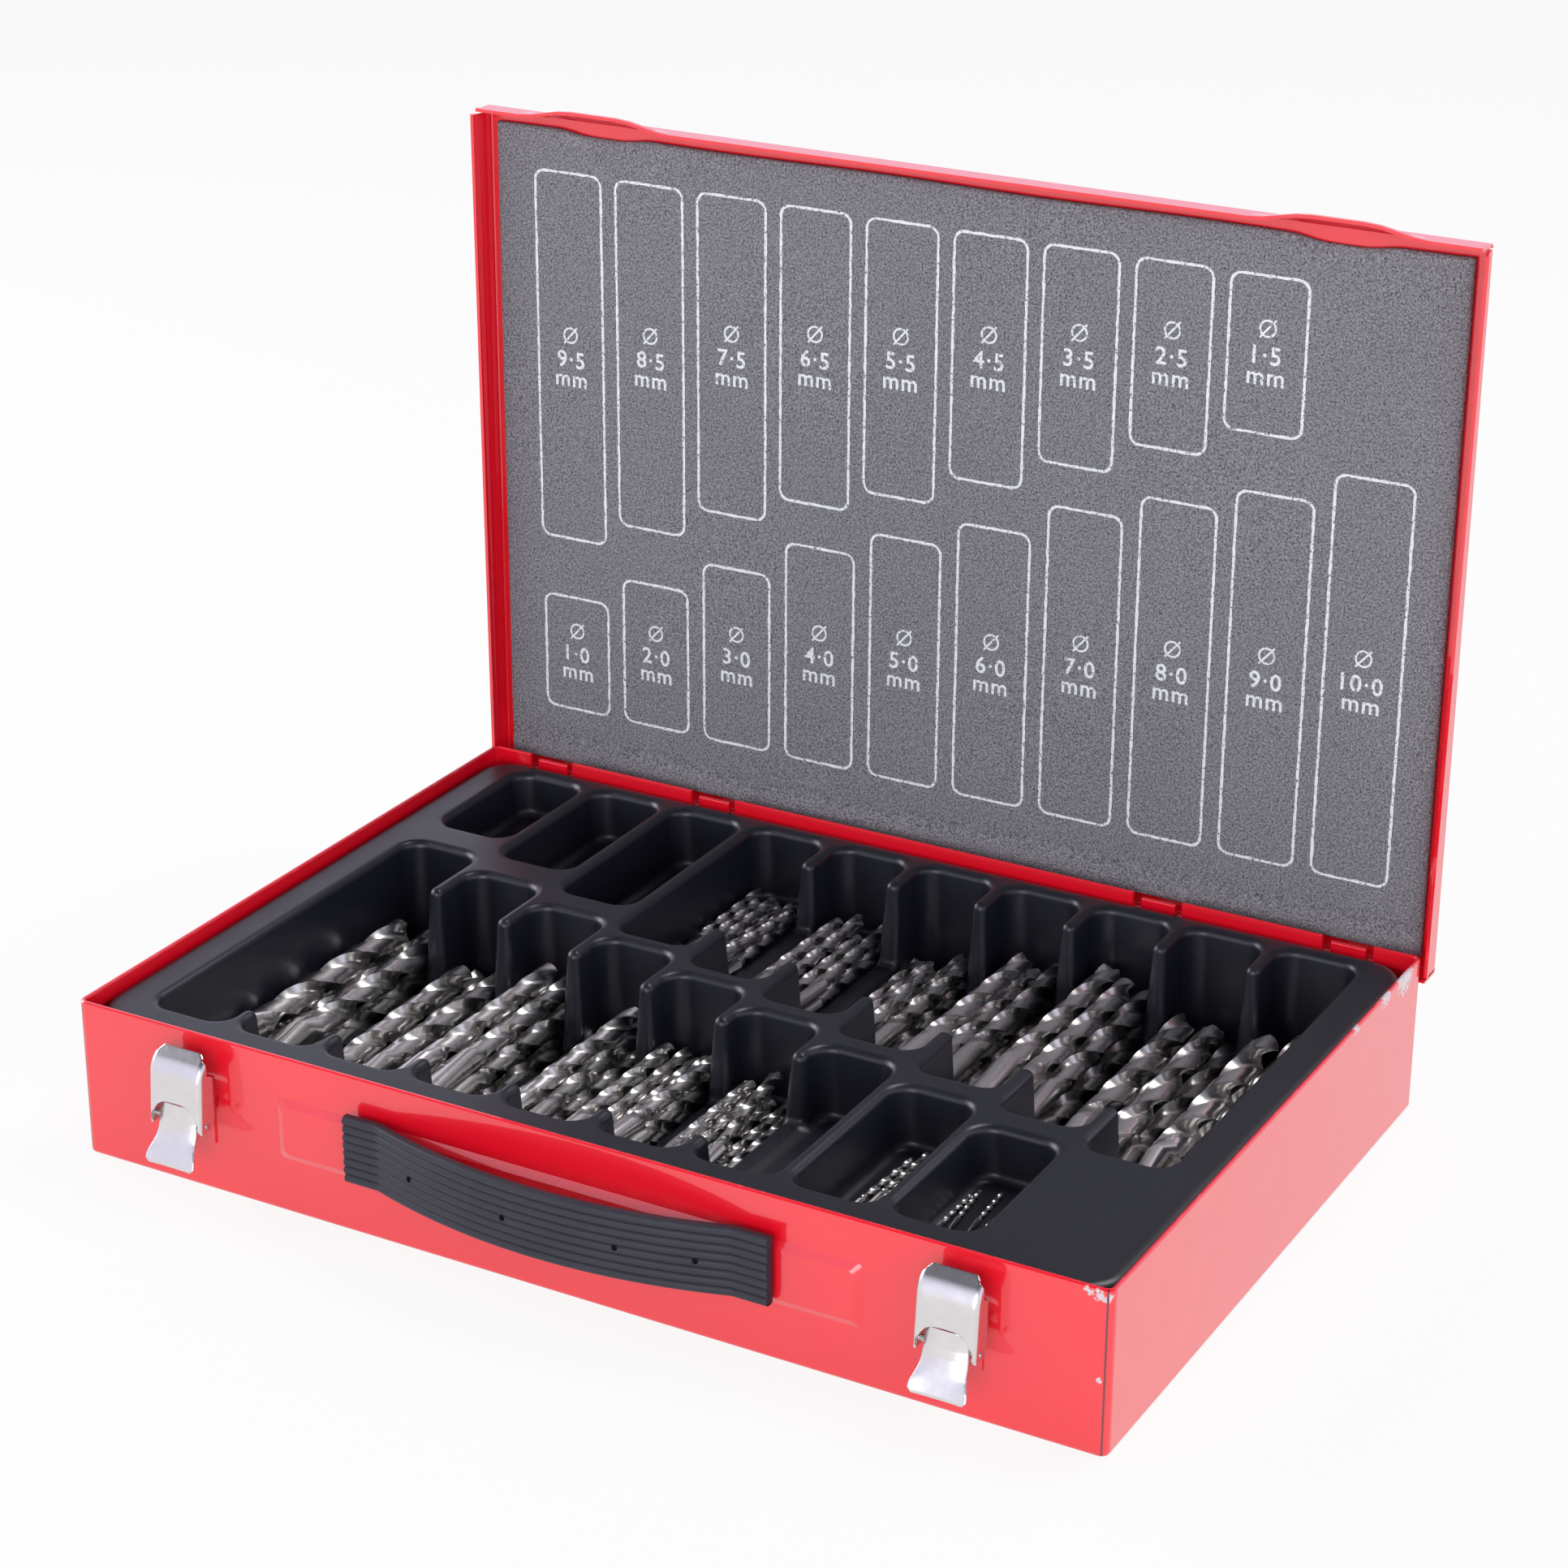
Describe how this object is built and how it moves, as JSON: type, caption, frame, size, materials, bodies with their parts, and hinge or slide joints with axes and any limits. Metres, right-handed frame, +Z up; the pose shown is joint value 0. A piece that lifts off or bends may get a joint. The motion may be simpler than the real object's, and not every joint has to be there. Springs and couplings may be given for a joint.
{
  "type": "drill bit case",
  "caption": "Flat folded-steel case with a hinged lid, lever latches, a bowed handle and a moulded tray of pockets holding loose twist drills.",
  "frame": {"origin": "middle of the flat underside of the box, on the surface it rests on", "axes": "+X to the right along the long side, -Y to the front with the handle and latches, +Z up"},
  "size_m": [0.3768, 0.2751, 0.3022],
  "materials": {
    "red_enamel": "gloss",
    "zinc_steel": "satin",
    "black_plastic": "satin",
    "grey_foam": "matte",
    "drill_steel": "satin",
    "grip_rubber": "matte"
  },
  "bodies": {
    "case": {"base_shell": "red_enamel", "tray": "black_plastic", "hinge_wire": "zinc_steel", "handle_strap": "zinc_steel", "handle_grip": "grip_rubber", "handle_rivets": "zinc_steel", "latch_left_plate": "zinc_steel", "latch_left_lever_pin": "zinc_steel", "latch_left_rivets": "zinc_steel", "latch_right_plate": "zinc_steel", "latch_right_lever_pin": "zinc_steel", "latch_right_rivets": "zinc_steel", "bits_1_5": "drill_steel", "bits_2_0": "drill_steel", "bits_2_5": "drill_steel", "bits_4_0": "drill_steel", "bits_4_5": "drill_steel", "bits_5_0": "drill_steel", "bits_5_5": "drill_steel", "bits_6_0": "drill_steel", "bits_6_5": "drill_steel", "bits_7_0": "drill_steel", "bits_7_5": "drill_steel", "bits_8_0": "drill_steel", "bits_8_5": "drill_steel", "bits_9_0": "drill_steel", "bits_9_5": "drill_steel", "bits_10_0": "drill_steel"},
    "lid": {"lid_shell": "red_enamel", "lid_foam": "grey_foam"},
    "lever_left": {"latch_left_lever": "zinc_steel", "latch_left_hook_pin": "zinc_steel"},
    "hook_left": {"latch_left_hook": "zinc_steel"},
    "lever_right": {"latch_right_lever": "zinc_steel", "latch_right_hook_pin": "zinc_steel"},
    "hook_right": {"latch_right_hook": "zinc_steel"}
  },
  "joints": [
    {"name": "lid_hinge", "type": "hinge", "parent": "case", "child": "lid", "pos_m": [0, 0.12527, 0.048], "axis": [1, 0, 0], "range_deg": [0, 90]},
    {"name": "lever_lift_left", "type": "hinge", "parent": "case", "child": "lever_left", "pos_m": [-0.138, -0.1285, 0.031], "axis": [-1, 0, 0], "range_deg": [-10, 75]},
    {"name": "hook_swing_left", "type": "hinge", "parent": "lever_left", "child": "hook_left", "pos_m": [-0.138, -0.132, 0.0285], "axis": [1, 0, 0], "range_deg": [-12.5, 93.75]},
    {"name": "lever_lift_right", "type": "hinge", "parent": "case", "child": "lever_right", "pos_m": [0.138, -0.1285, 0.031], "axis": [-1, 0, 0], "range_deg": [-10, 75]},
    {"name": "hook_swing_right", "type": "hinge", "parent": "lever_right", "child": "hook_right", "pos_m": [0.138, -0.132, 0.0285], "axis": [1, 0, 0], "range_deg": [-12.5, 93.75]}
  ],
  "couplings": [
    {"joint": "hook_swing_left", "follows": "lever_lift_left", "ratio": 1.25},
    {"joint": "hook_swing_right", "follows": "lever_lift_right", "ratio": 1.25}
  ]
}
